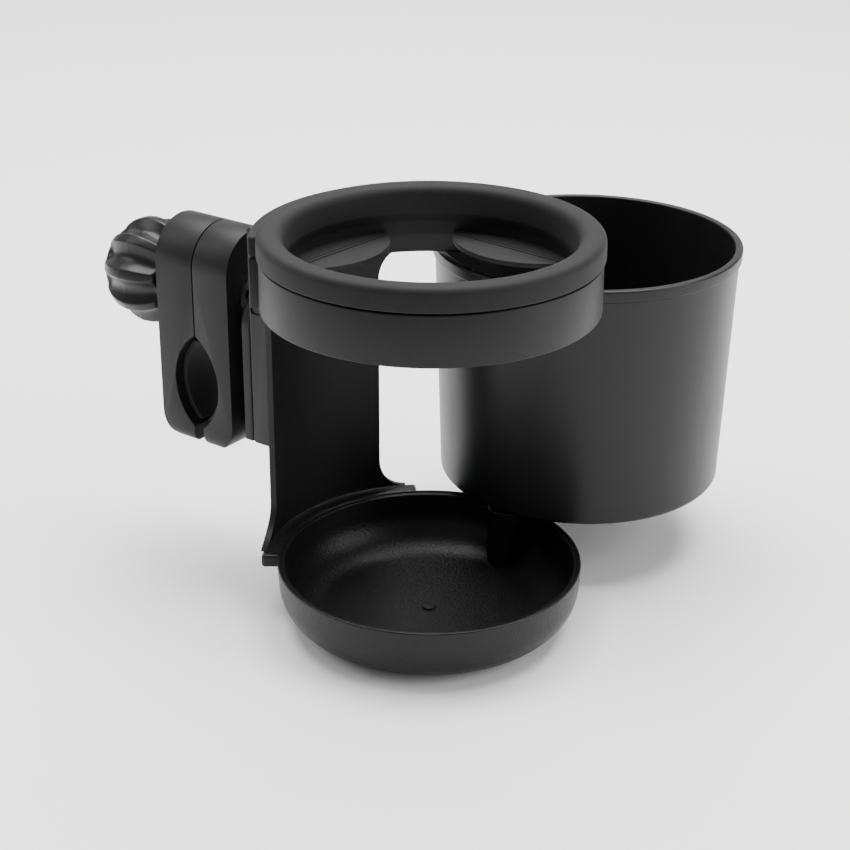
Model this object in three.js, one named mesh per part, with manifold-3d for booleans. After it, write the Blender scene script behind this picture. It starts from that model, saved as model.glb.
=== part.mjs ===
// A tube-clamp cup holder: a screw clamp for a round tube, a sling with a rubber-lipped ring and a
// saucer, and a second, solid cup that swings out on a post or nests inside the sling.
// Millimetres, +Z up, origin at the middle of the clamp's tube opening; the tube runs along Y.
import * as THREE from 'three';
import { mergeVertices } from 'three/addons/utils/BufferGeometryUtils.js';
import Module from 'manifold-3d';

const wasm = await Module();
wasm.setup();

// Driving dimensions.
const GAP = 0.3;                 // clearance between pieces that touch
const HOLDER_X = 81.2;           // tube axis to the ring's axis
const GROOVE_Z = 56.1;           // seam between the band and the rubber ring
const BAND = { inner: 46.6, outer: 49.2, height: 15 };
const RING = { lip: 42, outer: 49.8, rise: 7.5, skirt: 7, skirtInner: 43.6, skirtOuter: 46.3 };
const WALL = { inner: 49.9, outer: 51.9, from: 145, to: 198.5, rise: 10, flareFrom: 10, flareTo: 15 };
const COLLAR = { from: 132, to: 221 };
const SAUCER = { rimZ: -41.3, radius: 46.47, depth: 20, wall: 2.3, corner: 14 };
const FLANGE = { thickness: 4.2, outer: 51.5, from: 131, to: 216 };
const POST = { radius: 6.1, ring: 39.85, angle: 87.2, bore: 3.7, recess: 9.5 };
const PIVOT = { screw: 2, head: 4.3, washer: 1, bush: 3.4 };
const CUP = { radius: 49.35, body: 48.4, foot: 46.3, height: 79.3, lip: 3.5, wall: 2, corner: 5 };
const CUP_BELOW_BAND = 0.8;
const FLAP = { count: 4, first: 85.5, chord: 37.1, half: 22.2, reach: 24.8, thickness: 1.4 };
const JAW = { width: 26.6, top: 50.6, bottom: -21.1, outerDepth: 15.3, innerDepth: 14.2 };
const TUBE = { halfHeight: 16.4, bite: 9, slit: 2 };
const PAD = 1.8;
const SCREW = { z: 29, radius: 4, clearance: 4.6, length: 42 };
const NUT = { flats: 13, depth: 6.5 };
const KEY = { z: 43, size: 3, reach: 11 };
const KNOB = { inner: 17, length: 22.5, belly: 17.2, neck: 14.2, nose: 11.2, ribs: 9, scoop: 3 };
const TONGUE = { x: 18.4, thickness: 3.4, neck: 10, head: 17, headDepth: 2.6, top: 36 };
const SOCKET = { x: 22.8, width: 26.6, bottom: -14 };
const SMOOTH = 48;

const BAND_BOTTOM = GROOVE_Z - BAND.height;
const RING_TOP = GROOVE_Z + RING.rise;
const CUP_TOP = BAND_BOTTOM - CUP_BELOW_BAND;
const CUP_BOTTOM = CUP_TOP - CUP.height;
const SAUCER_BOTTOM = SAUCER.rimZ - SAUCER.depth;
const SAUCER_FLOOR = SAUCER_BOTTOM + SAUCER.wall;
const PIVOT_SEAT = SAUCER_BOTTOM + POST.recess;

const black = (roughness, shade = 0x17181a) =>
  new THREE.MeshStandardMaterial({ color: shade, roughness, metalness: 0 });
const MATERIAL = {
  jaw: black(0.55),
  pad: black(0.85, 0x202122),
  knob: black(0.38, 0x141517),
  frame: black(0.5),
  rubber: black(0.8, 0x242425),
  saucer: black(0.42, 0x121315),
  cup: black(0.4, 0x16171a),
  steel: new THREE.MeshStandardMaterial({ color: 0xb4b6b8, roughness: 0.35, metalness: 1 }),
};

const radians = (degrees) => (degrees * Math.PI) / 180;

// Turn any closed geometry into a solid with its faces pointing out.
function solid(geometry) {
  geometry.deleteAttribute('normal');
  geometry.deleteAttribute('uv');
  const merged = mergeVertices(geometry, 1e-4);
  const position = merged.attributes.position;
  const corner = [0, 1, 2].map(() => new THREE.Vector3());
  const triangles = [];
  let volume = 0;
  for (let i = 0; i < merged.index.count; i += 3) {
    const face = [0, 1, 2].map((k) => merged.index.getX(i + k));
    if (new Set(face).size < 3) continue;
    face.forEach((vertex, k) => corner[k].fromBufferAttribute(position, vertex));
    volume += corner[0].dot(corner[1].clone().cross(corner[2]));
    triangles.push(face);
  }
  if (volume < 0) triangles.forEach((face) => face.reverse());
  return new wasm.Manifold(new wasm.Mesh({
    numProp: 3,
    vertProperties: new Float32Array(position.array),
    triVerts: new Uint32Array(triangles.flat()),
  }));
}

function geometryOf(manifold) {
  const { vertProperties, triVerts } = manifold.getMesh();
  const geometry = new THREE.BufferGeometry();
  geometry.setAttribute('position', new THREE.BufferAttribute(vertProperties, 3));
  geometry.setIndex(new THREE.BufferAttribute(triVerts, 1));
  geometry.computeVertexNormals();
  return geometry;
}

const join = (...solids) => solids.reduce((whole, piece) => whole.add(piece));
const cut = (body, ...tools) => tools.reduce((left, tool) => left.subtract(tool), body);

// Round solid about a vertical axis from a closed or axis-to-axis profile of [radius, z] points.
function turned(profile, { x = 0, y = 0, segments = SMOOTH, from = 0, sweep = 360 } = {}) {
  const points = profile.map(([radius, z]) => new THREE.Vector2(radius, z));
  const geometry = new THREE.LatheGeometry(points, segments, radians(from), radians(sweep));
  geometry.rotateX(Math.PI / 2);
  return solid(geometry.translate(x, y, 0));
}

function closed(profile) {
  return [...profile, profile[0]];
}

// A box given by its two opposite corners.
function block(low, high) {
  const size = high.map((value, k) => value - low[k]);
  const geometry = new THREE.BoxGeometry(...size);
  return solid(geometry.translate(...high.map((value, k) => (value + low[k]) / 2)));
}

// A cylinder that runs along X.
function rodX(radius, from, to, y, z, segments = 20) {
  const geometry = new THREE.CylinderGeometry(radius, radius, to - from, segments);
  geometry.rotateZ(Math.PI / 2);
  return solid(geometry.translate((from + to) / 2, y, z));
}

// A vertical prism of an outline in XY.
function prismZ(shape, bottom, top, curveSegments = 16) {
  const options = { depth: top - bottom, bevelEnabled: false, curveSegments };
  return solid(new THREE.ExtrudeGeometry(shape, options).translate(0, 0, bottom));
}

// A prism along X of an outline drawn in (y, z).
function prismX(shape, from, to, curveSegments = 10) {
  const options = { depth: to - from, bevelEnabled: false, curveSegments };
  const geometry = new THREE.ExtrudeGeometry(shape, options);
  const turn = new THREE.Matrix4().makeBasis(
    new THREE.Vector3(0, 1, 0), new THREE.Vector3(0, 0, 1), new THREE.Vector3(1, 0, 0));
  return solid(geometry.applyMatrix4(turn).translate(from, 0, 0));
}

// A prism along Y, centred on y = 0, of an outline drawn in (x, z).
function prismY(shape, width, curveSegments = 8) {
  const options = { depth: width, bevelEnabled: false, curveSegments };
  const geometry = new THREE.ExtrudeGeometry(shape, options);
  return solid(geometry.rotateX(Math.PI / 2).translate(0, width / 2, 0));
}

// Sector of the holder's wall between two radii, two heights and two angles.
function sector(inner, outer, bottom, top, from, to) {
  const shape = new THREE.Shape();
  shape.absarc(HOLDER_X, 0, outer, radians(from), radians(to), false);
  shape.absarc(HOLDER_X, 0, inner, radians(to), radians(from), true);
  return prismZ(shape, bottom, top, 14);
}

// A plate bent round the ring's axis, through rows of { z, from, to } between two radii.
function curvedPlate(rows, inner, outer, steps = 12) {
  const around = 2 * (steps + 1);
  const points = rows.flatMap(({ z, from, to }) => Array.from({ length: around }, (_, k) => {
    const step = k <= steps ? k : around - 1 - k;
    const [x, y] = atAngle(k <= steps ? outer : inner, from + ((to - from) * step) / steps);
    return new THREE.Vector3(x, y, z);
  }));
  const index = [];
  const quad = (a, b, c, d) => index.push(a, b, c, a, c, d);
  const last = (rows.length - 1) * around;
  for (let i = 0; i < steps; i += 1) {
    quad(around - 1 - i, around - 2 - i, i + 1, i);
    quad(last + i, last + i + 1, last + around - 2 - i, last + around - 1 - i);
  }
  for (let row = 0; row < last; row += around) {
    for (let k = 0; k < around; k += 1) {
      const next = (k + 1) % around;
      quad(row + k, row + next, row + around + next, row + around + k);
    }
  }
  const geometry = new THREE.BufferGeometry().setFromPoints(points);
  geometry.setIndex(index);
  return solid(geometry);
}

function atAngle(radius, degrees) {
  const angle = radians(degrees);
  return [HOLDER_X + radius * Math.cos(angle), radius * Math.sin(angle)];
}

const nodes = [];
function node(name, body, material) {
  const mesh = new THREE.Mesh(geometryOf(body), material);
  mesh.name = name;
  nodes.push(mesh);
}

// ---- Clamp jaws -------------------------------------------------------------------------------

// Jaw outline seen along the screw: straight sides, a round top and softened bottom corners.
function jawOutline(inset = 0, bottom = JAW.bottom, top = JAW.top) {
  const half = JAW.width / 2 - inset;
  const corner = 4;
  const shape = new THREE.Shape();
  shape.moveTo(-half + corner, bottom);
  shape.lineTo(half - corner, bottom);
  shape.absarc(half - corner, bottom + corner, corner, -Math.PI / 2, 0, false);
  shape.lineTo(half, top - inset - half);
  shape.absarc(0, top - inset - half, half, 0, Math.PI, false);
  shape.lineTo(-half, bottom + corner);
  shape.absarc(-half + corner, bottom + corner, corner, Math.PI, 1.5 * Math.PI, false);
  return shape;
}

// The shallow arc that each jaw takes out of the tube opening, grown or shrunk by an offset.
function biteOutline(offset) {
  const radius = (TUBE.halfHeight ** 2 + TUBE.bite ** 2) / (2 * TUBE.bite);
  const shape = new THREE.Shape();
  shape.absarc(radius - TUBE.bite, 0, radius + offset, 0, 2 * Math.PI, false);
  return shape;
}

// Rounded lower end of a jaw, seen along the tube: everything outside it is cut away.
function jawProfile(depth, side) {
  const round = 9;
  const tip = TUBE.slit;
  const shape = new THREE.Shape();
  shape.moveTo(side * (GAP / 2), JAW.top + 1);
  shape.lineTo(side * (GAP / 2), 0);
  shape.lineTo(side * tip, -TUBE.halfHeight);
  shape.lineTo(side * tip, JAW.bottom);
  shape.lineTo(side * (depth - round), JAW.bottom);
  shape.quadraticCurveTo(side * depth, JAW.bottom, side * depth, JAW.bottom + round);
  shape.lineTo(side * depth, JAW.top + 1);
  shape.closePath();
  return shape;
}

function jawBlank(depth, side) {
  const low = side < 0 ? -depth : GAP / 2;
  const high = side < 0 ? -GAP / 2 : depth;
  const slab = prismX(jawOutline(), low, high);
  const profile = prismY(jawProfile(depth, side), JAW.width + 2);
  const bite = prismY(biteOutline(0), JAW.width + 2, 40);
  const turnedBite = side < 0 ? bite : bite.mirror([1, 0, 0]);
  return cut(slab.intersect(profile), turnedBite);
}

// Soft liner that lies in a jaw's bite, held back from the faces by a small rim.
function jawPad(side) {
  const width = JAW.width - 6;
  const outer = prismY(biteOutline(-GAP), width, 40);
  const inner = prismY(biteOutline(-GAP - PAD), width + 2, 40);
  const reach = TUBE.bite + 1;
  const height = TUBE.halfHeight - 3;
  const keep = block([-reach, -width, -height], [-1.2, width, height]);
  const pad = cut(outer, inner).intersect(keep);
  return side < 0 ? pad : pad.mirror([1, 0, 0]);
}

function outerJaw() {
  const screwHole = rodX(SCREW.clearance, -30, 5, 0, SCREW.z);
  const slack = KEY.size + GAP;
  const keyway = block([-KEY.reach - 1, -slack, KEY.z - slack], [5, slack, KEY.z + slack]);
  return cut(jawBlank(JAW.outerDepth, -1), screwHole, keyway);
}

function innerJaw() {
  const back = JAW.innerDepth;
  const screwHole = rodX(SCREW.clearance, -5, 30, 0, SCREW.z);
  const nutRadius = NUT.flats / Math.sqrt(3) + GAP;
  const pocket = rodX(nutRadius, back - NUT.depth, 30, 0, SCREW.z, 6);
  const key = block(
    [-KEY.reach, -KEY.size, KEY.z - KEY.size], [2, KEY.size, KEY.z + KEY.size]);
  return cut(join(jawBlank(back, 1), key), screwHole, pocket);
}

function clampNut() {
  const start = JAW.innerDepth - NUT.depth + GAP;
  const nut = rodX(NUT.flats / Math.sqrt(3), start, JAW.innerDepth - GAP, 0, SCREW.z, 6);
  return cut(nut, rodX(SCREW.radius + GAP, 0, 30, 0, SCREW.z));
}

// ---- Knob and screw ---------------------------------------------------------------------------

// Barrel-shaped grip with scooped valleys between flat ribs, turning about the screw.
function knobGrip() {
  const start = -KNOB.inner;
  const end = start - KNOB.length;
  const profile = [
    [0, start], [KNOB.neck - 1, start], [KNOB.neck, start - 1], [16.2, start - 5],
    [KNOB.belly, start - 10], [16.4, start - 15.5], [14.2, start - 19.5], [KNOB.nose, end], [0, end],
  ];
  const points = profile.map(([radius, x]) => new THREE.Vector2(radius, x));
  const barrel = new THREE.LatheGeometry(points, 36).rotateZ(-Math.PI / 2);
  const grip = solid(barrel.translate(0, 0, SCREW.z));
  return cut(grip, ...knobScoops(), rodX(SCREW.radius + GAP, end + 4, 0, 0, SCREW.z, 24));
}

function knobScoops() {
  const scoops = [];
  const radius = 5;
  for (let i = 0; i < KNOB.ribs; i += 1) {
    const ball = new THREE.SphereGeometry(radius, 10, 8);
    ball.scale(2.15, 1, 1);
    ball.translate(-KNOB.inner - 11.5, 0, KNOB.belly + radius - KNOB.scoop);
    ball.rotateX((2 * Math.PI * (i + 0.5)) / KNOB.ribs);
    scoops.push(solid(ball.translate(0, 0, SCREW.z)));
  }
  return scoops;
}

function clampScrew() {
  const end = -KNOB.inner - KNOB.length + 4 + GAP;
  return rodX(SCREW.radius, end, end + SCREW.length, 0, SCREW.z, 24);
}

function knobWasher() {
  const from = -KNOB.inner + GAP / 2;
  const disc = rodX(8.5, from, -JAW.outerDepth - GAP / 2, 0, SCREW.z);
  return cut(disc, rodX(SCREW.radius + GAP, -30, 0, 0, SCREW.z, 24));
}

// ---- Tongue and socket ------------------------------------------------------------------------

// T-shaped rail on the back of the inner jaw that the holder drops over.
function tongue() {
  const back = TONGUE.x + TONGUE.thickness;
  const neckEnd = back + 2.9;
  const start = JAW.innerDepth + GAP;
  const plate = prismX(jawOutline(1.2, JAW.bottom, TONGUE.top), TONGUE.x, back);
  const spine = block([start, -7, -14], [TONGUE.x + 1, 7, TONGUE.top - 4]);
  const ledge = block([start, -11, JAW.bottom + 1], [TONGUE.x + 1, 11, JAW.bottom + 3]);
  const neck = block([back - 1, -TONGUE.neck / 2, JAW.bottom + 2], [neckEnd, TONGUE.neck / 2, 30]);
  const half = TONGUE.head / 2;
  const head = block([neckEnd - 1, -half, JAW.bottom + 2], [neckEnd + TONGUE.headDepth, half, 30]);
  const rail = join(plate, spine, ledge, neck, head);
  return cut(rail, ...[-6, 12].map((z) => tongueScrewHole(z)),
    rodX(SCREW.radius + 1.2, 0, TONGUE.x + 2, 0, SCREW.z, 24));
}

function tongueScrewHole(z) {
  return join(rodX(1.8, 0, 40, 0, z, 16), rodX(3.6, TONGUE.x + 2, 40, 0, z, 20));
}

function tongueScrew(z) {
  const shank = rodX(1.5, JAW.innerDepth + GAP, TONGUE.x + 3, 0, z, 16);
  return join(shank, rodX(3.2, TONGUE.x + 2 + GAP, TONGUE.x + 4.4, 0, z, 20));
}

function railSlot() {
  const slack = 0.35;
  const neckEnd = TONGUE.x + TONGUE.thickness + 2.9;
  const neckHalf = TONGUE.neck / 2 + slack;
  const headHalf = TONGUE.head / 2 + slack;
  const from = neckEnd - 1 - slack;
  const neck = block([TONGUE.x, -neckHalf, SOCKET.bottom - 5], [neckEnd, neckHalf, 30 + GAP]);
  const head = block([from, -headHalf, SOCKET.bottom - 5],
    [neckEnd + TONGUE.headDepth + slack, headHalf, 30 + GAP]);
  return join(neck, head);
}

// Straight-edged wall whose ends sweep out in quarter arcs to the flange and to the collar.
function wallRows(bottom, top, steps = 4) {
  const rows = [];
  for (let i = 0; i <= steps; i += 1) {
    const angle = (Math.PI / 2) * (i / steps);
    const lift = WALL.rise * (1 - Math.cos(angle));
    const spread = 1 - Math.sin(angle);
    const from = WALL.from - WALL.flareFrom * spread;
    const to = WALL.to + WALL.flareTo * spread;
    rows.splice(i, 0, { z: bottom + lift, from, to }, { z: top - lift, from, to });
  }
  return rows;
}

// ---- Holder frame: band, curved wall and socket in one moulding ---------------------------------

function holderFrame() {
  const band = turned(closed([
    [BAND.inner, BAND_BOTTOM], [BAND.outer + 0.15, BAND_BOTTOM], [BAND.outer, GROOVE_Z],
    [BAND.inner, GROOVE_Z],
  ]), { x: HOLDER_X });
  const collar = sector(BAND.inner + 0.5, WALL.outer, BAND_BOTTOM, GROOVE_Z, COLLAR.from, COLLAR.to);
  const wallBottom = SAUCER.rimZ + GAP;
  const wall = curvedPlate(wallRows(wallBottom, BAND_BOTTOM + 0.5), WALL.inner, WALL.outer);
  const half = SOCKET.width / 2;
  const brick = block([SOCKET.x, -half, SOCKET.bottom], [HOLDER_X - 44, half, GROOVE_Z]);
  const inside = turned([
    [0, wallBottom], [WALL.inner + 0.6, wallBottom], [WALL.inner + 0.6, GROOVE_Z + 1],
    [0, GROOVE_Z + 1],
  ], { x: HOLDER_X });
  const socket = cut(brick, inside);
  return cut(join(band, collar, wall, socket), railSlot());
}

// ---- Rubber ring and its flaps ------------------------------------------------------------------

function gripRing() {
  const bottom = GROOVE_Z - RING.skirt - FLAP.thickness;
  const lipEdge = 3.4;
  const ring = turned(closed([
    [RING.skirtInner, bottom], [RING.skirtOuter, bottom], [RING.skirtOuter, GROOVE_Z + GAP],
    [RING.outer, GROOVE_Z + GAP], [RING.outer, RING_TOP - 2], [RING.outer - 0.7, RING_TOP - 0.6],
    [RING.outer - 2, RING_TOP], [RING.lip + lipEdge, RING_TOP],
    [RING.lip + 0.7, RING_TOP - 1.1], [RING.lip, RING_TOP - 3.2],
    [RING.lip, GROOVE_Z - 1], [RING.skirtInner, GROOVE_Z - 4],
  ]), { x: HOLDER_X });
  const bulge = sector(
    RING.outer - 2, WALL.outer, GROOVE_Z + GAP, RING_TOP - 1.2, COLLAR.from, COLLAR.to);
  const webs = [];
  for (let i = 0; i < FLAP.count; i += 1) webs.push(flapWeb(FLAP.first + 90 * i));
  return join(ring, bulge, ...webs);
}

// Outline of a flap in its own axes: x outwards from the ring's axis, y along the fold.
function flapOutline() {
  const rise = FLAP.chord - FLAP.reach;
  const radius = (FLAP.half ** 2 + rise ** 2) / (2 * rise);
  const spread = Math.asin(FLAP.half / radius);
  const shape = new THREE.Shape();
  shape.absarc(FLAP.reach + radius, 0, radius, Math.PI - spread, Math.PI + spread, false);
  shape.closePath();
  return shape;
}

function placedOnRing(body, degrees) {
  return body.rotate([0, 0, degrees]).translate([HOLDER_X, 0, 0]);
}

function flap(degrees) {
  const top = GROOVE_Z - RING.skirt;
  const blade = prismZ(flapOutline(), top - FLAP.thickness, top, 14);
  return placedOnRing(blade.translate([-GAP, 0, 0]), degrees);
}

// Fixed web between the fold line of a flap and the skirt.
function flapWeb(degrees) {
  const top = GROOVE_Z - RING.skirt;
  const bottom = top - FLAP.thickness;
  const radius = RING.skirtInner + 1;
  const spread = Math.acos(FLAP.chord / radius);
  const shape = new THREE.Shape();
  shape.absarc(0, 0, radius, -spread, spread, false);
  shape.closePath();
  return placedOnRing(prismZ(shape, bottom, top, 10), degrees);
}

// ---- Saucer, post and their fasteners -----------------------------------------------------------

function saucer() {
  const { radius, corner, wall, rimZ } = SAUCER;
  const outerArc = arcPoints(radius - corner, SAUCER_BOTTOM + corner, corner, 270, 360, 5);
  const innerArc = arcPoints(
    radius - corner, SAUCER_BOTTOM + corner, corner - wall, 360, 270, 5);
  const bowl = turned([
    [0, SAUCER_BOTTOM], ...outerArc, [radius, rimZ - 1.2], [radius - 0.5, rimZ],
    [radius - wall, rimZ], ...innerArc, [0, SAUCER_FLOOR],
  ], { x: HOLDER_X });
  const flange = sector(
    radius - 1, FLANGE.outer, rimZ - FLANGE.thickness, rimZ, FLANGE.from, FLANGE.to);
  const nub = turned([
    [0, SAUCER_FLOOR - 1], [2.1, SAUCER_FLOOR - 1], [2.1, SAUCER_FLOOR + 0.5],
    [0, SAUCER_FLOOR + 0.9],
  ], { x: HOLDER_X, segments: 16 });
  const postTop = CUP_BOTTOM - GAP;
  const pillar = onPivot([
    [0, SAUCER_BOTTOM], [POST.radius, SAUCER_BOTTOM], [POST.radius, postTop - 0.6],
    [POST.radius - 0.6, postTop], [0, postTop],
  ]);
  const envelope = turned([
    [0, SAUCER_BOTTOM], ...outerArc, [radius, postTop], [0, postTop],
  ], { x: HOLDER_X });
  const post = pillar.intersect(envelope);
  const recess = onPivot(column(PIVOT.head + 0.6, SAUCER_BOTTOM - 1, PIVOT_SEAT));
  const bore = onPivot(column(POST.bore, SAUCER_BOTTOM, CUP_BOTTOM + 1));
  return cut(join(bowl, flange, post, nub), recess, bore);
}

function arcPoints(centreR, centreZ, radius, from, to, steps) {
  const points = [];
  for (let i = 0; i <= steps; i += 1) {
    const angle = radians(from + ((to - from) * i) / steps);
    points.push([centreR + radius * Math.cos(angle), centreZ + radius * Math.sin(angle)]);
  }
  return points;
}

// A solid turned about the post's own axis, at rest or at the cup's side of it.
function onPivot(profile, segments = 20) {
  const [x, y] = atAngle(POST.ring, POST.angle);
  return turned(profile, { x, y, segments });
}

function column(radius, bottom, top) {
  return [[0, bottom], [radius, bottom], [radius, top], [0, top]];
}

function sleeve(inner, outer, bottom, top) {
  return onPivot(closed([[inner, bottom], [outer, bottom], [outer, top], [inner, top]]), 20);
}

function pivotBush() {
  return sleeve(PIVOT.screw + GAP, PIVOT.bush, PIVOT_SEAT, CUP_BOTTOM - GAP);
}

function pivotWasher() {
  const top = PIVOT_SEAT - GAP;
  return sleeve(PIVOT.screw + GAP, PIVOT.head + 0.3, top - PIVOT.washer, top);
}

// Shoulder screw from under the saucer, through the post, into the cup's floor.
function pivotScrew() {
  const seat = PIVOT_SEAT - PIVOT.washer - 2 * GAP;
  return onPivot([
    [0, seat - 2], [PIVOT.head - 0.2, seat - 2], [PIVOT.head, seat], [PIVOT.screw, seat],
    [PIVOT.screw, CUP_BOTTOM + 4.2], [0, CUP_BOTTOM + 4.6],
  ], 20);
}

// ---- Second cup ---------------------------------------------------------------------------------

function swingCup() {
  const [x, y] = atAngle(2 * POST.ring, POST.angle);
  const { radius, body, foot, wall, corner, lip } = CUP;
  const outer = arcPoints(foot - corner, CUP_BOTTOM + corner, corner, 270, 360, 3);
  const inner = arcPoints(foot - corner, CUP_BOTTOM + corner, corner - wall, 360, 270, 3);
  const shell = turned([
    [0, CUP_BOTTOM], ...outer, [body, CUP_TOP - lip - 0.5], [radius - 0.2, CUP_TOP - lip],
    [radius, CUP_TOP - 0.4], [radius - 0.4, CUP_TOP], [body - wall + 0.4, CUP_TOP],
    ...inner, [0, CUP_BOTTOM + wall],
  ], { x, y });
  const boss = onPivot([
    [0, CUP_BOTTOM + 0.5], [5.5, CUP_BOTTOM + 0.5], [5, CUP_BOTTOM + 6], [0, CUP_BOTTOM + 6],
  ]);
  const bore = onPivot(column(PIVOT.screw + GAP, CUP_BOTTOM - 1, CUP_BOTTOM + 5), 20);
  return cut(join(shell, boss), bore);
}

// ---- Assembly -----------------------------------------------------------------------------------

node('outer_jaw', outerJaw(), MATERIAL.jaw);
node('outer_jaw_pad', jawPad(-1), MATERIAL.pad);
node('inner_jaw', innerJaw(), MATERIAL.jaw);
node('inner_jaw_pad', jawPad(1), MATERIAL.pad);
node('clamp_nut', clampNut(), MATERIAL.steel);
node('knob_grip', knobGrip(), MATERIAL.knob);
node('clamp_screw', clampScrew(), MATERIAL.steel);
node('knob_washer', knobWasher(), MATERIAL.steel);
node('tongue_rail', tongue(), MATERIAL.jaw);
node('tongue_screw_lower', tongueScrew(-6), MATERIAL.steel);
node('tongue_screw_upper', tongueScrew(12), MATERIAL.steel);
node('holder_frame', holderFrame(), MATERIAL.frame);
node('grip_ring', gripRing(), MATERIAL.rubber);
for (let i = 0; i < FLAP.count; i += 1) {
  node(`grip_flap_${i + 1}`, flap(FLAP.first + 90 * i), MATERIAL.rubber);
}
node('saucer', saucer(), MATERIAL.saucer);
node('pivot_bush', pivotBush(), MATERIAL.pad);
node('pivot_washer', pivotWasher(), MATERIAL.steel);
node('pivot_screw', pivotScrew(), MATERIAL.steel);
node('swing_cup', swingCup(), MATERIAL.cup);

const group = new THREE.Group();
group.add(...nodes);
export default group;
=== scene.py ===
"""Looks of a tube clamp cup holder: a screw clamp, a bottle sling with a rubber-lipped ring and a
saucer, and a second cup that swings out on a post. Metres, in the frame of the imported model."""

import math
from math import cos, pi, radians, sin

import bmesh
import bpy
from mathutils import Matrix, Vector


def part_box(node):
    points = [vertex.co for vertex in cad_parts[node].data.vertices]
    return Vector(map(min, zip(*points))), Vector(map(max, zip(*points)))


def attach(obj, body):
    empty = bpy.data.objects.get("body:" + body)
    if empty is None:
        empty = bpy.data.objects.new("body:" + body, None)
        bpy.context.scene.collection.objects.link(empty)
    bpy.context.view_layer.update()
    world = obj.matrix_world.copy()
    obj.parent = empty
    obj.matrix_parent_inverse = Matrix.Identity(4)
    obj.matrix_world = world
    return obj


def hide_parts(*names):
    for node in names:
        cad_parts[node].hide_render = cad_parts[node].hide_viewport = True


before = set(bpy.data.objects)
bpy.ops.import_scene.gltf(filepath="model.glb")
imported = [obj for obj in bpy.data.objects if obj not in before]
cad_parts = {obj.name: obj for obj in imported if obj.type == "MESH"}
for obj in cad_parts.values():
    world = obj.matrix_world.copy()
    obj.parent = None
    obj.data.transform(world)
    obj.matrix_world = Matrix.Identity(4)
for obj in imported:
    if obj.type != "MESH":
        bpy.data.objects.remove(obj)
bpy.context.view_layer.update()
MM = 0.001

# ---- View and studio ------------------------------------------------------------------------
# A long lens looks a little down on the holder from its open side. The stage is a pale sweep
# that curves up behind, lit by one big overhead box, two side boxes and a soft pale room.
ring_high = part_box("grip_ring")[1]
saucer_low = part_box("saucer")[0]
GROOVE = ring_high.z - 7.5 * MM
AXIS_X = 81.2 * MM
VIEW_YAW, VIEW_DROP, VIEW_ROLL = radians(36), radians(24.17), radians(0.287)
VIEW_SIDE, VIEW_BACK, VIEW_RISE = -0.0015, -0.49464, 0.16877

camera_data = bpy.data.cameras.new("view")
camera_data.lens = 77.48
camera_data.sensor_width = 36
camera = bpy.data.objects.new("view", camera_data)
bpy.context.scene.collection.objects.link(camera)
turn = Matrix.Rotation(VIEW_YAW, 4, "Z")
tip = Matrix.Rotation(pi / 2 - VIEW_DROP, 4, "X")
lean = Matrix.Rotation(VIEW_ROLL, 4, "Z")
stand = turn @ Vector((VIEW_SIDE, VIEW_BACK, 0)) + Vector((AXIS_X, 0, GROOVE + VIEW_RISE))
camera.matrix_world = Matrix.Translation(stand) @ turn @ tip @ lean
bpy.context.scene.camera = camera


def link_mesh(name, points, faces):
    """A new object at the origin from points and faces, with doubles merged and faces out."""
    mesh = bpy.data.meshes.new(name)
    mesh.from_pydata([tuple(point) for point in points], [], faces)
    shape = bmesh.new()
    shape.from_mesh(mesh)
    bmesh.ops.remove_doubles(shape, verts=shape.verts, dist=1e-7)
    bmesh.ops.recalc_face_normals(shape, faces=shape.faces)
    shape.to_mesh(mesh)
    shape.free()
    obj = bpy.data.objects.new(name, mesh)
    bpy.context.scene.collection.objects.link(obj)
    return obj


def sweep_floor(half=2.2, rise=2.4, bend=0.7, steps=16):
    """Floor that curves up into a backdrop behind the object, seen from the camera."""
    profile = [(-half, 0.0)]
    for step in range(steps + 1):
        angle = pi / 2 * step / steps
        profile.append((half - bend + bend * sin(angle), bend - bend * cos(angle)))
    profile.append((half, rise))
    points = []
    for along, height in profile:
        points += [(side, along, height) for side in (-half * 1.6, half * 1.6)]
    faces = [(2 * i, 2 * i + 1, 2 * i + 3, 2 * i + 2) for i in range(len(profile) - 1)]
    floor = link_mesh("floor_sweep", points, faces)
    place = Matrix.Translation((AXIS_X, 0, saucer_low.z - 0.0002)) @ turn
    floor.data.transform(place)
    floor.data.polygons.foreach_set("use_smooth", [True] * len(floor.data.polygons))
    return floor


floor = sweep_floor()
paper = bpy.data.materials.new("studio_paper")
paper.use_nodes = True
paper.node_tree.nodes["Principled BSDF"].inputs["Base Color"].default_value = (0.94, 0.94, 0.94, 1)
paper.node_tree.nodes["Principled BSDF"].inputs["Roughness"].default_value = 0.9
floor.data.materials.append(paper)

world = bpy.data.worlds.new("studio_room")
world.use_nodes = True
world.node_tree.nodes["Background"].inputs["Color"].default_value = (1, 1, 1, 1)
world.node_tree.nodes["Background"].inputs["Strength"].default_value = 0.42
bpy.context.scene.world = world


def softbox(name, place, aim, size, power):
    data = bpy.data.lights.new(name, "AREA")
    data.shape = "RECTANGLE"
    data.size, data.size_y = size
    data.energy = power
    lamp = bpy.data.objects.new(name, data)
    lamp.location = place
    lamp.rotation_euler = (Vector(aim) - Vector(place)).to_track_quat("-Z", "Y").to_euler()
    bpy.context.scene.collection.objects.link(lamp)


middle = (AXIS_X, 0.02, 0)
softbox("overhead_box", (-0.1, 0.35, 1.3), middle, (1.5, 1.1), 62)
softbox("left_box", (-0.95, -0.6, 0.9), middle, (0.7, 0.7), 6)
softbox("right_box", (1.2, 0.35, 0.5), middle, (0.4, 1.0), 10)

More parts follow.
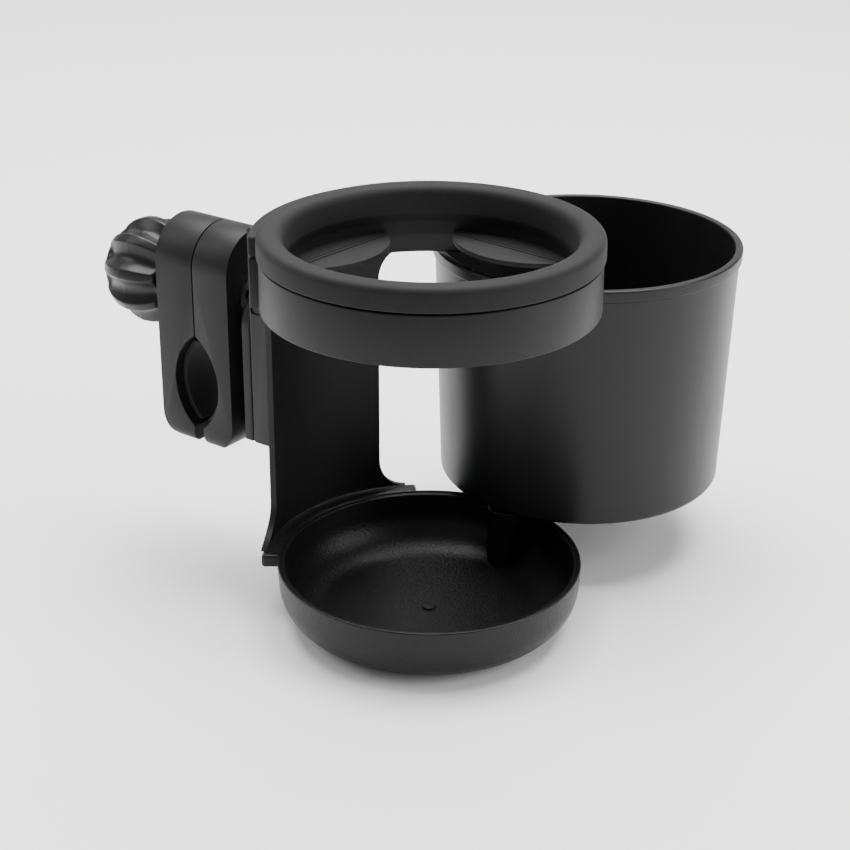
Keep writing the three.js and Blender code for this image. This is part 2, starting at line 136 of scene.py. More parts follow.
# ---- Sling frame ----------------------------------------------------------------------------
# One black moulding: the band under the rubber ring, the curved wall beside the bottle, the
# collar that joins them, and the socket that drops over the clamp's rail. Satin, finely grained.
BAND = dict(inner=46.6 * MM, outer=49.2 * MM, low=GROOVE - 15 * MM)
RIM = saucer_low.z + 20 * MM
WALL = dict(inner=49.9 * MM, outer=51.9 * MM, start=145, end=198.5, low=RIM + 0.3 * MM,
            rise=10 * MM, flare_start=10, flare_end=15)
COLLAR = dict(start=132, end=221)


class Wire:
    """A value that varies over a surface. Arithmetic on it adds Math nodes."""

    def __init__(self, finish, socket):
        self.finish, self.socket = finish, socket

    def maths(self, operation, first, second):
        return self.finish.node("ShaderNodeMath", {"operation": operation}, {0: first, 1: second})

    def __add__(self, other):
        return self.maths("ADD", self, other)

    def __sub__(self, other):
        return self.maths("SUBTRACT", self, other)

    def __rsub__(self, other):
        return self.maths("SUBTRACT", other, self)

    def __mul__(self, other):
        return self.maths("MULTIPLY", self, other)

    __radd__ = __add__
    __rmul__ = __mul__


class Finish:
    """A surface finish: one material whose nodes are added by node()."""

    def __init__(self, name):
        self.material = bpy.data.materials.new(name)
        self.material.use_nodes = True
        self.tree = self.material.node_tree
        self.shader = self.tree.nodes["Principled BSDF"]
        self.place = self.node("ShaderNodeTexCoord", output="Object")

    def node(self, kind, settings=None, sockets=None, output=0):
        made = self.tree.nodes.new(kind)
        for key, value in (settings or {}).items():
            if key == "stops":
                for stop, (position, shade) in zip(made.color_ramp.elements, value):
                    stop.position, stop.color = position, (shade, shade, shade, 1)
            else:
                setattr(made, key, value)
        for key, value in (sockets or {}).items():
            self.feed(made.inputs[key], value)
        return Wire(self, made.outputs[output])

    def feed(self, socket, value):
        if isinstance(value, Wire):
            self.tree.links.new(value.socket, socket)
        else:
            socket.default_value = value

    def set(self, **values):
        for key, value in values.items():
            self.feed(self.shader.inputs[key.replace("_", " ")], value)

    def noise(self, size, detail=3.0, place=None):
        """Noise whose features are about size metres across."""
        sockets = {"Vector": place or self.place, "Scale": 1 / size, "Detail": detail}
        return self.node("ShaderNodeTexNoise", None, sockets)

    def shades(self, factor, dark, light):
        sockets = {0: factor, 6: (*dark, 1), 7: (*light, 1)}
        return self.node("ShaderNodeMix", {"data_type": "RGBA"}, sockets, output=2)

    def bumps(self, height, depth, strength=1.0):
        sockets = {"Strength": strength, "Distance": depth, "Height": height}
        self.feed(self.shader.inputs["Normal"], self.node("ShaderNodeBump", None, sockets))


def moulded(name, dark, light, rough, grain, depth, gloss_drift=0.1, coat=0.0):
    """Moulded black plastic: a sparked grain, cloudy gloss and a faint drift of tone."""
    finish = Finish(name)
    cloud = finish.noise(26 * MM, 4)
    fine = finish.noise(grain, 5)
    scuff = finish.noise(2.2 * MM, 8)
    finish.set(
        Base_Color=finish.shades(cloud * 0.6 + fine * 0.4, dark, light),
        Roughness=cloud * gloss_drift + fine * 0.12 + scuff * 0.06 + (rough - 0.14),
        Coat_Weight=coat, Coat_Roughness=0.25, Specular_IOR_Level=0.22,
    )
    finish.bumps(fine * 0.8 + scuff * 0.2, depth)
    return finish.material


def rounded(corners, steps=5):
    """Closed outline through (x, y, radius) corners, each corner turned into an arc."""
    outline = []
    for i, (x, y, radius) in enumerate(corners):
        here = Vector((x, y))
        if not radius:
            outline.append(here)
            continue
        before = (Vector(corners[i - 1][:2]) - here).normalized()
        after = (Vector(corners[(i + 1) % len(corners)][:2]) - here).normalized()
        half = math.acos(max(-1, min(1, before.dot(after)))) / 2
        centre = here + (before + after).normalized() * (radius / sin(half))
        first = here + before * (radius / math.tan(half)) - centre
        bend = pi - 2 * half
        if before.x * after.y - before.y * after.x > 0:
            bend = -bend
        for step in range(steps + 1):
            outline.append(centre + Matrix.Rotation(bend * step / steps, 2) @ first)
    return outline


def turned(name, outline, x=AXIS_X, y=0.0, steps=192):
    """Round solid about a vertical axis from a closed outline of (radius, height)."""
    count = len(outline)
    points = []
    for step in range(steps):
        angle = 2 * pi * step / steps
        points += [(x + r * cos(angle), y + r * sin(angle), z) for r, z in outline]
    faces = []
    for step in range(steps):
        here, there = step * count, (step + 1) % steps * count
        for i in range(count):
            j = (i + 1) % count
            faces.append((here + i, there + i, there + j, here + j))
    return link_mesh(name, points, faces)


def prism(name, outline, axis, low, high):
    """Straight solid of a closed outline, drawn across an axis: (y, z), (x, z) or (x, y)."""
    slot = "XYZ".index(axis)
    points = []
    for level in (low, high):
        for u, v in outline:
            point = [u, v]
            point.insert(slot, level)
            points.append(point)
    count = len(outline)
    faces = [tuple(range(count)), tuple(range(2 * count - 1, count - 1, -1))]
    faces += [(i, (i + 1) % count, count + (i + 1) % count, count + i) for i in range(count)]
    return link_mesh(name, points, faces)


def brick(name, low, high):
    corners = [(low[0], low[1]), (high[0], low[1]), (high[0], high[1]), (low[0], high[1])]
    return prism(name, corners, "Z", low[2], high[2])


def curved_plate(name, rows, inner, outer, steps=64):
    """Plate that follows the ring: rows of (height, start, end) angles between two radii."""
    points = []
    for radius in (outer, inner):
        for height, start, end in rows:
            for step in range(steps + 1):
                angle = radians(start + (end - start) * step / steps)
                points.append((AXIS_X + radius * cos(angle), radius * sin(angle), height))
    width = steps + 1
    skin = len(rows) * width
    faces = []
    for row in range(len(rows) - 1):
        for step in range(steps):
            a = row * width + step
            faces.append((a, a + 1, a + 1 + width, a + width))
            faces.append((skin + a, skin + a + width, skin + a + 1 + width, skin + a + 1))
        for side in (0, steps):
            a = row * width + side
            faces.append((a, a + width, skin + a + width, skin + a))
    for row in (0, len(rows) - 1):
        for step in range(steps):
            a = row * width + step
            faces.append((a, a + 1, skin + a + 1, skin + a))
    return link_mesh(name, points, faces)


def settle(obj):
    """Makes the modifiers' result the object's own mesh."""
    bpy.context.view_layer.update()
    evaluated = obj.evaluated_get(bpy.context.evaluated_depsgraph_get())
    obj.data = bpy.data.meshes.new_from_object(evaluated)
    obj.modifiers.clear()
    return obj


def combine(obj, operation, *others):
    for other in others:
        tool = obj.modifiers.new("joint", "BOOLEAN")
        tool.operation, tool.object, tool.solver = operation, other, "EXACT"
        settle(obj)
        bpy.data.objects.remove(other)
    return obj


def soften(obj, width, steps=3, angle=32):
    """Rounds the sharp edges a little, as a mould does."""
    bevel = obj.modifiers.new("edge_round", "BEVEL")
    bevel.width, bevel.segments = width, steps
    bevel.limit_method, bevel.angle_limit = "ANGLE", radians(angle)
    bevel.miter_outer = "MITER_ARC"
    return settle(obj)


def complete(obj, material, body, slot, *nodes, angle=38):
    """Last step of each piece: smooth shading, its finish, and what it stands for."""
    obj.data.polygons.foreach_set("use_smooth", [True] * len(obj.data.polygons))
    obj.data.set_sharp_from_angle(angle=radians(angle))
    obj.data.materials.clear()
    obj.data.materials.append(material)
    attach(obj, body)
    if nodes:
        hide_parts(*nodes)
    return obj


def wall_rows():
    """The wall's outline: straight ends that flare in quarter arcs into collar and flange."""
    low, high = WALL["low"], BAND["low"] + 0.4 * MM
    rows = []
    steps = 10
    for step in range(steps + 1):
        angle = pi / 2 * step / steps
        lift, spread = WALL["rise"] * (1 - cos(angle)), 1 - sin(angle)
        ends = (WALL["start"] - WALL["flare_start"] * spread,
                WALL["end"] + WALL["flare_end"] * spread)
        rows[step:step] = [(low + lift, *ends), (high - lift, *ends)]
    return rows


def sling_frame():
    inner, outer, low = BAND["inner"], BAND["outer"], BAND["low"]
    soft = 0.5 * MM
    band = turned("sling_frame", rounded([
        (inner, low, soft), (outer + 0.15 * MM, low, soft), (outer, GROOVE, soft),
        (inner, GROOVE, soft)], 4))
    wall = soften(curved_plate("wall", wall_rows(), WALL["inner"], WALL["outer"]), 0.5 * MM)
    rows = [(height, COLLAR["start"], COLLAR["end"]) for height in (low, GROOVE)]
    collar = soften(curved_plate("collar", rows, inner + 0.5 * MM, WALL["outer"]), 0.6 * MM)
    return combine(combine(band, "UNION", collar, wall, socket_block()), "DIFFERENCE", rail_slot())


def socket_block():
    """Block on the wall's back, with a shallow panel sunk into each side."""
    half, left, low = 13.3 * MM, 22.8 * MM, -14 * MM
    right = AXIS_X - 44 * MM
    block = soften(brick("socket", (left, -half, low), (right, half, GROOVE)), 0.9 * MM)
    hollow = turned("hollow", [
        (0, low - MM), (50.3 * MM, low - MM), (50.3 * MM, GROOVE + MM), (0, GROOVE + MM)])
    combine(block, "DIFFERENCE", hollow)
    for side in (-1, 1):
        near, far = left + 0.9 * MM, left + 4.9 * MM
        bottom, top = GROOVE - 27 * MM, GROOVE - 10 * MM
        panel = rounded([(near, bottom, 1.2 * MM), (far, bottom, 1.2 * MM), (far, top, 0),
                         (near, top, 0)])
        reach = sorted((side * (half - 0.5 * MM), side * (half + MM)))
        combine(block, "DIFFERENCE", prism("panel", panel, "Y", *reach))
    return block


def rail_slot():
    """T-shaped slot, open at the bottom, that the clamp's rail fills."""
    low, top = -0.03, 30.3 * MM
    neck = brick("neck", (18 * MM, -5.35 * MM, low), (24.7 * MM, 5.35 * MM, top))
    head = brick("head", (23.35 * MM, -8.85 * MM, low), (27.65 * MM, 8.85 * MM, top))
    return combine(neck, "UNION", head)


satin = moulded("satin_frame_plastic", (0.0035, 0.0035, 0.004), (0.007, 0.007, 0.0078),
                0.46, 0.4 * MM, 0.06 * MM)
complete(sling_frame(), satin, "holder", "frame", "holder_frame")

# ---- Rubber ring ----------------------------------------------------------------------------
# Soft black rubber over the band's top: a fat rounded lip outside, a skirt inside, a thicker
# stretch over the collar, and four webs that the flaps hang from. Matte, a little dusty.
LIP = dict(inner=42 * MM, outer=49.8 * MM, skirt_in=43.6 * MM, skirt_out=46.3 * MM)
FLAP = dict(count=4, first=85.5, chord=37.1 * MM, half=22.2 * MM, reach=24.8 * MM,
            thick=1.4 * MM)
FLAP_TOP = GROOVE - 7 * MM


def soft_rubber(name, dark, light):
    finish = Finish(name)
    cloud = finish.noise(14 * MM, 5)
    fine = finish.noise(0.22 * MM, 4)
    dust = finish.node("ShaderNodeValToRGB", {"stops": [(0.52, 0.0), (0.78, 1.0)]},
                       {"Fac": finish.noise(0.9 * MM, 6)})
    finish.set(
        Base_Color=finish.shades(cloud * 0.5 + dust * 0.35, dark, light),
        Roughness=cloud * 0.1 + fine * 0.1 + 0.56,
        Specular_IOR_Level=0.2, Sheen_Weight=0.02, Sheen_Roughness=0.5,
    )
    finish.bumps(fine, 0.035 * MM)
    return finish.material


def web(angle):
    """Fixed web between a flap's fold and the skirt."""
    radius = LIP["skirt_in"] + MM
    spread = math.acos(FLAP["chord"] / radius)
    outline = [(radius * cos(t), radius * sin(t))
               for t in [spread * (2 * i / 24 - 1) for i in range(25)]]
    piece = prism("web", outline, "Z", FLAP_TOP - FLAP["thick"], FLAP_TOP)
    piece.data.transform(Matrix.Translation((AXIS_X, 0, 0)) @ Matrix.Rotation(angle, 4, "Z"))
    return piece


def grip_ring():
    bottom, top = FLAP_TOP - FLAP["thick"], ring_high.z
    seat = GROOVE + 0.45 * MM
    ring = turned("rubber_ring", rounded([
        (LIP["skirt_in"], bottom, 0.3 * MM), (LIP["skirt_out"], bottom, 0.5 * MM),
        (LIP["skirt_out"], seat, 0), (LIP["outer"], seat, 0.7 * MM),
        (LIP["outer"] - 0.1 * MM, top, 2.3 * MM), (LIP["inner"], top, 3.0 * MM),
        (LIP["inner"], GROOVE - 1 * MM, 1.5 * MM),
        (LIP["skirt_in"], GROOVE - 4 * MM, 1.5 * MM)], 7))
    rows = [(height, COLLAR["start"], COLLAR["end"]) for height in (seat, top - 1.2 * MM)]
    swell = soften(curved_plate("swell", rows, LIP["outer"] - 2 * MM, WALL["outer"]), 0.9 * MM, 4)
    webs = [web(radians(FLAP["first"] + 90 * i)) for i in range(FLAP["count"])]
    return combine(ring, "UNION", swell, *webs)


rubber = soft_rubber("soft_black_rubber", (0.006, 0.0058, 0.0058), (0.013, 0.0125, 0.0122))
complete(grip_ring(), rubber, "holder", "rubber", "grip_ring")


def flap_blade(number, angle):
    """Thin tongue of rubber with a round free edge and a scored fold."""
    rise = FLAP["chord"] - FLAP["reach"]
    radius = (FLAP["half"] ** 2 + rise ** 2) / (2 * rise)
    spread = math.asin(FLAP["half"] / radius)
    outline = []
    for step in range(41):
        t = pi - spread + 2 * spread * step / 40
        outline.append((FLAP["reach"] + radius + radius * cos(t) - 0.3 * MM, radius * sin(t)))
    blade = prism(f"rubber_flap_{number}", outline, "Z", FLAP_TOP - FLAP["thick"], FLAP_TOP)
    score_x = FLAP["chord"] - 2 * MM
    score = brick("score", (score_x, -0.03, FLAP_TOP - 0.35 * MM),
                  (score_x + 0.6 * MM, 0.03, FLAP_TOP + MM))
    combine(blade, "DIFFERENCE", score)
    soften(blade, 0.25 * MM, 2)
    blade.data.transform(Matrix.Translation((AXIS_X, 0, 0)) @ Matrix.Rotation(angle, 4, "Z"))
    return complete(blade, rubber, f"flap_{number}", "rubber", f"grip_flap_{number}")


for number in range(1, FLAP["count"] + 1):
    flap_blade(number, radians(FLAP["first"] + 90 * (number - 1)))

# ---- Saucer and post ------------------------------------------------------------------------
# A deep round saucer, moulded with the post for the second cup and with a flange that is bonded
# to the wall. Its spark-eroded grain is coarser and glossier than the frame's.
SAUCER = dict(radius=46.47 * MM, wall=2.3 * MM, corner=14 * MM, foot=30 * MM)
FLANGE = dict(start=131, end=216, thick=4.2 * MM, outer=51.5 * MM)
POST = dict(radius=6.1 * MM, ring=39.85 * MM, angle=radians(87.2), bore=3.7 * MM,
            recess=4.9 * MM, depth=9.5 * MM)
POST_X = AXIS_X + POST["ring"] * cos(POST["angle"])
POST_Y = POST["ring"] * sin(POST["angle"])
SAUCER_LOW = saucer_low.z
cup_low, cup_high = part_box("swing_cup")


def saucer():
    radius, wall, corner = SAUCER["radius"], SAUCER["wall"], SAUCER["corner"]
    bowl = turned("saucer", rounded([
        (0, SAUCER_LOW, 0), (SAUCER["foot"], SAUCER_LOW, 0.4 * MM),
        (SAUCER["foot"] + 0.6 * MM, SAUCER_LOW + 0.5 * MM, 0.4 * MM),
        (radius - 1.2 * MM, SAUCER_LOW + 0.5 * MM, corner - MM), (radius, RIM, 0.45 * MM),
        (radius - 0.95 * MM, RIM, 0.3 * MM), (radius - 1.05 * MM, RIM - 0.55 * MM, 0.2 * MM),
        (radius - wall, RIM - 0.6 * MM, 0.4 * MM),
        (radius - wall - MM, SAUCER_LOW + wall, corner - wall), (0, SAUCER_LOW + wall, 0)], 10))
    rows = [(height, FLANGE["start"], FLANGE["end"]) for height in (RIM - FLANGE["thick"], RIM)]
    flange = soften(curved_plate("flange", rows, radius - 0.8 * MM, FLANGE["outer"]), 1.7 * MM, 5)
    top = cup_low.z - 0.3 * MM
    post = turned("post", rounded([
        (0, SAUCER_LOW, 0), (POST["radius"], SAUCER_LOW, 0),
        (POST["radius"], top, 0.6 * MM), (0, top, 0)], 4), POST_X, POST_Y, 72)
    reach = turned("reach", rounded([
        (0, SAUCER_LOW + 0.6 * MM, 0), (radius - 1.3 * MM, SAUCER_LOW + 0.6 * MM, corner - MM),
        (radius - 0.1 * MM, top + MM, 0), (0, top + MM, 0)], 10))
    combine(post, "INTERSECT", reach)
    nub_radius, nub_top = 2.1 * MM, SAUCER_LOW + wall + 0.7 * MM
    nub = turned("nub", rounded([
        (0, SAUCER_LOW + MM, 0), (nub_radius, SAUCER_LOW + MM, 0),
        (nub_radius, nub_top, 0.4 * MM), (0, nub_top, 0)], 4), steps=48)
    bowl = combine(bowl, "UNION", flange, post, nub)
    step_height = SAUCER_LOW + POST["depth"]
    recess = turned("recess", [
        (0, SAUCER_LOW - MM), (POST["recess"], SAUCER_LOW - MM), (POST["recess"], step_height),
        (POST["bore"], step_height), (POST["bore"], top + MM), (0, top + MM)],
        POST_X, POST_Y, 64)
    return combine(bowl, "DIFFERENCE", recess)


grained = moulded("grained_saucer_plastic", (0.003, 0.003, 0.0034), (0.007, 0.007, 0.0078),
                  0.34, 0.7 * MM, 0.2 * MM, 0.12)
complete(saucer(), grained, "holder", "saucer", "saucer")

# ---- Second cup -----------------------------------------------------------------------------
# A plain tapered cup, smooth satin outside, with a thicker lip. It turns on a screw through the
# post, and nests between the saucer and the band when it is swung in.
CUP = dict(radius=49.35 * MM, body=48.4 * MM, foot=46.3 * MM, wall=2 * MM, corner=5 * MM)
CUP_X = AXIS_X + 2 * POST["ring"] * cos(POST["angle"])
CUP_Y = 2 * POST["ring"] * sin(POST["angle"])


def second_cup():
    low, high = cup_low.z, cup_high.z
    radius, body, foot, wall, corner = CUP.values()
    shell = turned("second_cup", rounded([
        (0, low, 0), (foot - 0.3 * MM, low, 2.2 * MM), (body, high - 4.1 * MM, 0.2 * MM),
        (radius - 0.1 * MM, high - 3.5 * MM, 0.3 * MM), (radius, high, 0.6 * MM),
        (body - wall + 0.5 * MM, high, 0.6 * MM),
        (foot - wall - 0.3 * MM, low + wall, corner - wall),
        (0, low + wall, 0)], 8), CUP_X, CUP_Y)
    boss = turned("boss", rounded([
        (0, low + MM, 0), (5.5 * MM, low + MM, 0), (5 * MM, low + 6 * MM, 0.6 * MM),
        (0, low + 6 * MM, 0)], 4), POST_X, POST_Y, 64)
    combine(shell, "UNION", boss)
    bore_radius, bore_top = 2.3 * MM, low + 5 * MM
    bore = turned("bore", [
        (0, low - MM), (bore_radius, low - MM), (bore_radius, bore_top), (0, bore_top)],
        POST_X, POST_Y, 48)
    return combine(shell, "DIFFERENCE", bore)


def smooth_satin(name, dark, light, rough):
    """Satin cup plastic: faint upright flow streaks and a very fine grain."""
    finish = Finish(name)
    stretch = finish.node("ShaderNodeMapping", None,
                          {"Vector": finish.place, "Scale": (1, 1, 0.12)})
    streak = finish.noise(7 * MM, 3, stretch)
    cloud = finish.noise(30 * MM, 3)
    fine = finish.noise(0.2 * MM, 3)
    finish.set(
        Base_Color=finish.shades(streak * 0.5 + cloud * 0.5, dark, light),
        Roughness=streak * 0.08 + cloud * 0.08 + fine * 0.06 + (rough - 0.11),
        Specular_IOR_Level=0.24,
    )
    finish.bumps(fine * 0.5 + streak * 0.5, 0.02 * MM)
    return finish.material


satin_cup = smooth_satin("satin_cup_plastic", (0.005, 0.005, 0.0055), (0.009, 0.009, 0.0095), 0.38)
complete(second_cup(), satin_cup, "swing_cup", "cup", "swing_cup")

# ---- Clamp jaws -----------------------------------------------------------------------------
# Two thick jaws with round tops. Each has a shallow arc bitten out for the tube, and the outer
# one slides along the screw. Matte with a fine even grain.
JAW = dict(half=13.3 * MM, top=50.6 * MM, low=-21.1 * MM, outer=15.3 * MM, inner=14.2 * MM,
           hole=4.6 * MM, pocket=7.8 * MM, pocket_depth=6.5 * MM)
BITE = dict(high=16.4 * MM, deep=9 * MM)
BITE_RADIUS = (BITE["high"] ** 2 + BITE["deep"] ** 2) / (2 * BITE["deep"])
SCREW_Z = 29 * MM


def jaw_outline(inset=0.0, top=None, steps=28):
    """Jaw seen along the screw, as (y, z): straight sides and a half-round top."""
    half = JAW["half"] - inset
    shoulder = (top or JAW["top"]) - inset - half
    outline = rounded([(-half, JAW["low"], 4 * MM), (half, JAW["low"], 4 * MM)] +
                      [(half, shoulder, 0), (-half, shoulder, 0)])[:-1]
    arc = [Vector((half * cos(pi * i / steps), shoulder + half * sin(pi * i / steps)))
           for i in range(1, steps + 1)]
    return outline + arc


def bite(side, grow, width):
    """The tube opening's arc in one jaw, as a cylinder along Y."""
    radius = BITE_RADIUS + grow
    centre = -side * (BITE_RADIUS - BITE["deep"])
    outline = [(centre + radius * cos(2 * pi * i / 160), radius * sin(2 * pi * i / 160))
               for i in range(160)]
    return prism("bite", outline, "Y", -width, width)


def jaw(name, side, depth):
    tip, gap = 2 * MM, 0.25 * MM
    blank = prism(name, jaw_outline(), "X", *sorted((side * gap, side * depth)))
    outline = rounded([
        (side * gap, JAW["top"] + MM, 0), (side * gap, 0, 0), (side * tip, -BITE["high"], 0),
        (side * tip, JAW["low"], 1.2 * MM), (side * depth, JAW["low"], 8.9 * MM),
        (side * depth, JAW["top"] + MM, 0)], 10)
    combine(blank, "INTERSECT", prism("side", outline, "Y", -0.02, 0.02))
    combine(blank, "DIFFERENCE", bite(side, 0, 0.02))
    soften(blank, 0.7 * MM, 3)
    radius = JAW["hole"]
    hole = [(radius * cos(2 * pi * i / 48), SCREW_Z + radius * sin(2 * pi * i / 48))
            for i in range(48)]
    through = sorted((-side * 0.01, side * 0.03))
    return combine(blank, "DIFFERENCE", prism("hole", hole, "X", *through))


def outer_jaw():
    piece = jaw("outer_jaw", -1, JAW["outer"])
    return combine(piece, "DIFFERENCE",
                   brick("keyway", (-12 * MM, -3.3 * MM, 39.7 * MM), (5 * MM, 3.3 * MM, 46.3 * MM)))


def inner_jaw():
    piece = jaw("inner_jaw", 1, JAW["inner"])
    radius = JAW["pocket"]
    flats = [(radius * cos(pi * i / 3), SCREW_Z + radius * sin(pi * i / 3)) for i in range(6)]
    floor_x = JAW["inner"] - JAW["pocket_depth"]
    combine(piece, "DIFFERENCE", prism("pocket", flats, "X", floor_x, 0.03))
    key = soften(brick("key", (-11 * MM, -3 * MM, 40 * MM), (2 * MM, 3 * MM, 46 * MM)), 0.4 * MM)
    return combine(piece, "UNION", key)


matte = moulded("matte_jaw_plastic", (0.004, 0.004, 0.0045), (0.008, 0.008, 0.009),
                0.48, 0.3 * MM, 0.05 * MM, 0.06)
complete(outer_jaw(), matte, "outer_jaw", "jaw", "outer_jaw")
complete(inner_jaw(), matte, "clamp_base", "jaw", "inner_jaw")


def jaw_pad(name, side):
    """Soft liner in a jaw's bite, a little narrower than the jaw."""
    half = JAW["half"] - 3 * MM
    pad = bite(side, -0.3 * MM, half)
    pad.name = name
    combine(pad, "DIFFERENCE", bite(side, -2.1 * MM, half + MM))
    height = BITE["high"] - 3 * MM
    near, far = sorted((side * 1.2 * MM, side * 10 * MM))
    combine(pad, "INTERSECT", brick("keep", (near, -0.02, -height), (far, 0.02, height)))
    return soften(pad, 0.4 * MM, 3)


pad_rubber = soft_rubber("pad_rubber", (0.006, 0.006, 0.006), (0.016, 0.0155, 0.015))
complete(jaw_pad("outer_pad", -1), pad_rubber, "outer_jaw", "pad", "outer_jaw_pad")
complete(jaw_pad("inner_pad", 1), pad_rubber, "clamp_base", "pad", "inner_jaw_pad")

# ---- Clamp knob -----------------------------------------------------------------------------
# A barrel grip moulded round the screw's head, with nine narrow ribs left between scoops that
# follow its bulge, and a fine parting ridge round its belly. Glossier than the rest.
KNOB = dict(start=17 * MM, length=22.5 * MM, belly=17.2 * MM, middle=10.5 * MM, bow=16.75 * MM,
            back=12.9 * MM, face=11.5 * MM, dish=8.6 * MM, ridge=0.1 * MM, ribs=9.0)
SCOOP = dict(depth=2.6 * MM, width=0.37, inner=11.6 * MM, fade=2.6 * MM)


class Growth:
    """A Geometry Nodes tree that works on a base mesh. grow() adds one node to it."""

    def __init__(self, name, **inputs):
        self.tree = bpy.data.node_groups.new(name, "GeometryNodeTree")
        inputs = {"Geometry": "Geometry", **inputs, "Finish": "Material"}
        for label, kind in inputs.items():
            self.tree.interface.new_socket(label, in_out="INPUT", socket_type="NodeSocket" + kind)
        self.tree.interface.new_socket("Geometry", in_out="OUTPUT",
                                       socket_type="NodeSocketGeometry")
        self.given = self.tree.nodes.new("NodeGroupInput").outputs

    def grow(self, kind, sockets, settings=None):
        made = self.tree.nodes.new(kind)
        for key, value in (settings or {}).items():
            setattr(made, key, value)
        for key, values in sockets.items():
            for value in values if isinstance(values, list) else [values]:
                if isinstance(value, bpy.types.NodeSocket):
                    self.tree.links.new(value, made.inputs[key])
                else:
                    made.inputs[key].default_value = value
        return made.outputs[0]

    def apply(self, base, geometry, **values):
        """Ends the tree, runs it on the base mesh and keeps the result as plain mesh."""
        whole = self.grow("GeometryNodeRealizeInstances", {"Geometry": geometry})
        coated = self.grow("GeometryNodeSetMaterial",
                           {"Geometry": whole, "Material": self.given["Finish"]})
        self.tree.links.new(coated, self.tree.nodes.new("NodeGroupOutput").inputs[0])
        growth = base.modifiers.new("growth", "NODES")
        growth.node_group = self.tree
        for item in self.tree.interface.items_tree:
            if item.name in values:
                growth[item.identifier] = values[item.name]
        return settle(base)


def knob():
    """The turned barrel, whose flank is sunk into scoops in a ring round it."""
    length, middle, steps = KNOB["length"], KNOB["middle"], 40
    outline = [(0, 0), (KNOB["back"], 0)]
    for step in range(steps + 1):
        height = 0.5 * MM + (length - 1.3 * MM) * step / steps
        radius = KNOB["belly"] * math.sqrt(1 - ((height - middle) / KNOB["bow"]) ** 2)
        ridge = KNOB["ridge"] if step == steps // 2 else 0
        outline.append((radius + ridge, height))
    outline += [(KNOB["face"], length), (KNOB["dish"], length), (8 * MM, length - 0.6 * MM),
                (0, length - 0.6 * MM)]
    barrel = turned("clamp_knob", outline, 0, steps=270)
    tree = Growth("scooped_barrel", Ribs="Float", Depth="Float")
    given = tree.given

    def maths(operation, first, second=0.0, clamp=False):
        return tree.grow("ShaderNodeMath", {0: first, 1: second},
                         {"operation": operation, "use_clamp": clamp})

    spot = tree.grow("GeometryNodeInputPosition", {})
    parts = tree.grow("ShaderNodeSeparateXYZ", {0: spot}).node.outputs
    x, y = parts["X"], parts["Y"]
    radius = maths("SQRT", maths("ADD", maths("MULTIPLY", x, x), maths("MULTIPLY", y, y)))
    turns = maths("MULTIPLY", maths("DIVIDE", maths("ARCTAN2", y, x), 2 * pi), given["Ribs"])
    across = maths("DIVIDE", maths("SUBTRACT", maths("FRACT", turns), 0.5), SCOOP["width"])
    hollow = maths("MAXIMUM", maths("SUBTRACT", 1.0, maths("MULTIPLY", across, across)), 0.0)
    fade = maths("DIVIDE", maths("SUBTRACT", radius, SCOOP["inner"]), SCOOP["fade"], clamp=True)
    sink = maths("MULTIPLY", maths("MULTIPLY", hollow, fade), given["Depth"])
    share = maths("DIVIDE", maths("MULTIPLY", sink, -1.0), maths("MAXIMUM", radius, 1e-6))
    inward = tree.grow("ShaderNodeCombineXYZ",
                       {"X": maths("MULTIPLY", x, share), "Y": maths("MULTIPLY", y, share)})
    scooped = tree.grow("GeometryNodeSetPosition", {"Geometry": given["Geometry"],
                                                   "Offset": inward})
    placed = tree.grow("GeometryNodeTransform",
                       {"Geometry": scooped, "Rotation": (0, -pi / 2, 0),
                        "Translation": (-KNOB["start"], 0, SCREW_Z)})
    piece = tree.apply(barrel, placed, Ribs=KNOB["ribs"], Depth=SCOOP["depth"], Finish=glossy)
    return soften(piece, 0.22 * MM, 2, 28)


glossy = moulded("glossy_knob_plastic", (0.004, 0.004, 0.0045), (0.008, 0.008, 0.0085),
                 0.36, 0.8 * MM, 0.008 * MM, 0.08, 0.1)
complete(knob(), glossy, "knob", "knob", "knob_grip", angle=30)

# ---- Rail -----------------------------------------------------------------------------------
# Plate with a round top, screwed to the inner jaw's back over the nut's pocket, with the T-shaped
# rail moulded on it. Same matte plastic as the jaws; it ends level with the socket it carries.
RAIL = dict(back=14.5 * MM, plate=18.4 * MM, front=21.8 * MM, half=12.1 * MM, top=34.8 * MM,
            low=-14.4 * MM, end=30 * MM, hole=3.4 * MM)


def rail():
    half, shoulder = RAIL["half"], RAIL["top"] - RAIL["half"]
    arc = [(half * cos(pi * i / 36), shoulder + half * sin(pi * i / 36)) for i in range(37)]
    outline = [(-half, RAIL["low"]), (half, RAIL["low"])] + arc
    plate = prism("clamp_rail", outline, "X", RAIL["plate"], RAIL["front"])
    soften(plate, 0.5 * MM)
    spacer = brick("spacer", (RAIL["back"], -7 * MM, RAIL["low"] + 2 * MM),
                   (RAIL["plate"] + MM, 7 * MM, 27 * MM))
    neck = brick("neck", (RAIL["front"] - MM, -5 * MM, RAIL["low"]),
                 (25.2 * MM, 5 * MM, RAIL["end"]))
    head = brick("head", (24.7 * MM, -8.5 * MM, RAIL["low"]), (27.3 * MM, 8.5 * MM, RAIL["end"]))
    soften(head, 0.4 * MM)
    combine(plate, "UNION", soften(spacer, 0.6 * MM), neck, head)
    for height in (-6 * MM, 12 * MM):
        radius = RAIL["hole"]
        hole = [(radius * cos(2 * pi * i / 40), height + radius * sin(2 * pi * i / 40))
                for i in range(40)]
        combine(plate, "DIFFERENCE", prism("screw_hole", hole, "X", 0.01, 0.03))
    return plate


complete(rail(), matte, "clamp_base", "jaw", "tongue_rail")

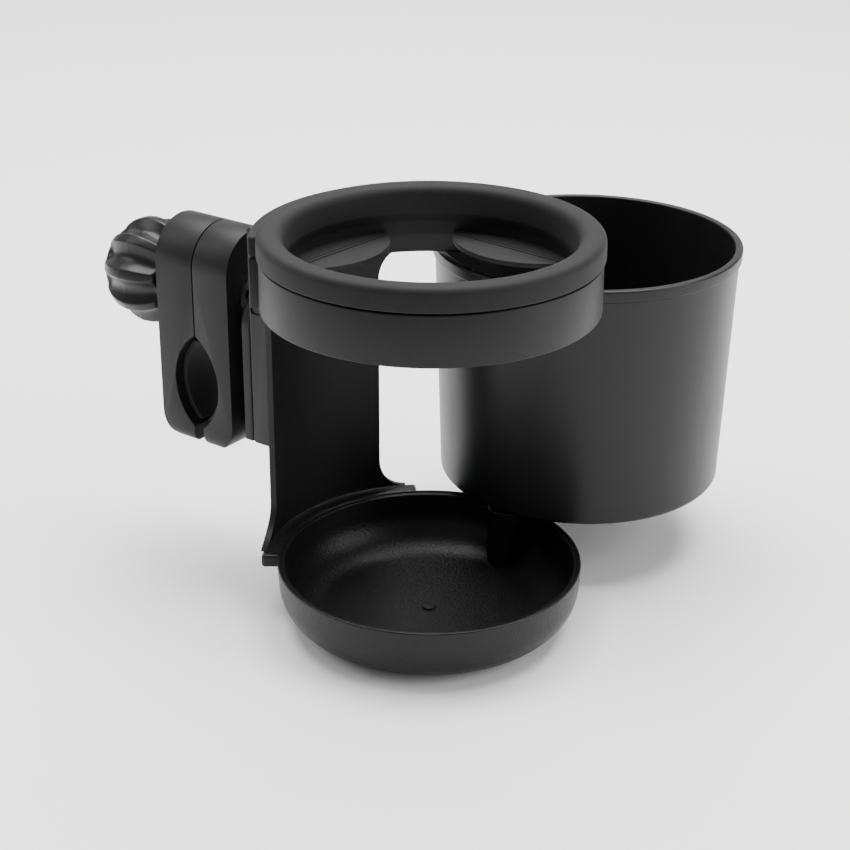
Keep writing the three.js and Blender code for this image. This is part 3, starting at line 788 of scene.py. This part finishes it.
# ---- Metal parts ----------------------------------------------------------------------------
# Zinc-plated steel: the screw and its nut, the washers and the small screws, with a rubber bush
# at the cup's pivot. The screw's thread is wound along its shank.


def plated_steel(name):
    finish = Finish(name)
    brushed = finish.node("ShaderNodeMapping", None,
                          {"Vector": finish.place, "Scale": (0.08, 1, 1)})
    hair = finish.noise(0.25 * MM, 6, brushed)
    cloud = finish.noise(6 * MM, 5)
    finish.set(
        Base_Color=finish.shades(cloud, (0.42, 0.43, 0.45), (0.62, 0.62, 0.6)),
        Roughness=hair * 0.2 + cloud * 0.15 + 0.16, Metallic=1.0,
    )
    finish.bumps(hair, 0.01 * MM)
    return finish.material


steel = plated_steel("plated_steel")
for name in ("clamp_nut", "knob_washer", "tongue_screw_lower", "tongue_screw_upper",
             "pivot_washer", "pivot_screw"):
    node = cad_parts[name]
    node.data.materials.clear()
    node.data.materials.append(steel)
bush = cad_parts["pivot_bush"]
bush.data.materials.clear()
bush.data.materials.append(pad_rubber)

SCREW = dict(start=-35.2 * MM, length=42 * MM, core=3.4 * MM, ridge=0.55 * MM, pitch=1.25 * MM)


def threaded_screw():
    """A plain shank with a ridge wound round it."""
    core, length, pitch = SCREW["core"], SCREW["length"], SCREW["pitch"]
    shank = turned("threaded_screw", rounded([
        (0, 0, 0), (core, 0, 0.4 * MM), (core, length, 0.4 * MM), (0, length, 0)], 3), 0, steps=48)
    shank.data.transform(Matrix.Rotation(pi / 2, 4, "Y"))
    tree = Growth("wound_thread", Turns="Float", Length="Float", Core="Float", Ridge="Float")
    given = tree.given
    spiral = tree.grow("GeometryNodeCurveSpiral",
                       {"Resolution": 32, "Rotations": given["Turns"],
                        "Start Radius": given["Core"], "End Radius": given["Core"],
                        "Height": given["Length"]})
    circle = tree.grow("GeometryNodeCurvePrimitiveCircle",
                       {"Resolution": 8, "Radius": given["Ridge"]})
    ridge = tree.grow("GeometryNodeCurveToMesh",
                      {"Curve": spiral, "Profile Curve": circle, "Fill Caps": True})
    lying = tree.grow("GeometryNodeTransform",
                      {"Geometry": ridge, "Rotation": (0, pi / 2, 0), "Translation": (pitch, 0, 0)})
    joined = tree.grow("GeometryNodeJoinGeometry", {"Geometry": [lying, given["Geometry"]]})
    placed = tree.grow("GeometryNodeTransform",
                       {"Geometry": joined, "Translation": (SCREW["start"], 0, SCREW_Z)})
    return tree.apply(shank, placed, Turns=length / pitch - 2, Length=length - 2 * pitch,
                      Core=core, Ridge=SCREW["ridge"], Finish=steel)


complete(threaded_screw(), steel, "knob", "steel", "clamp_screw")
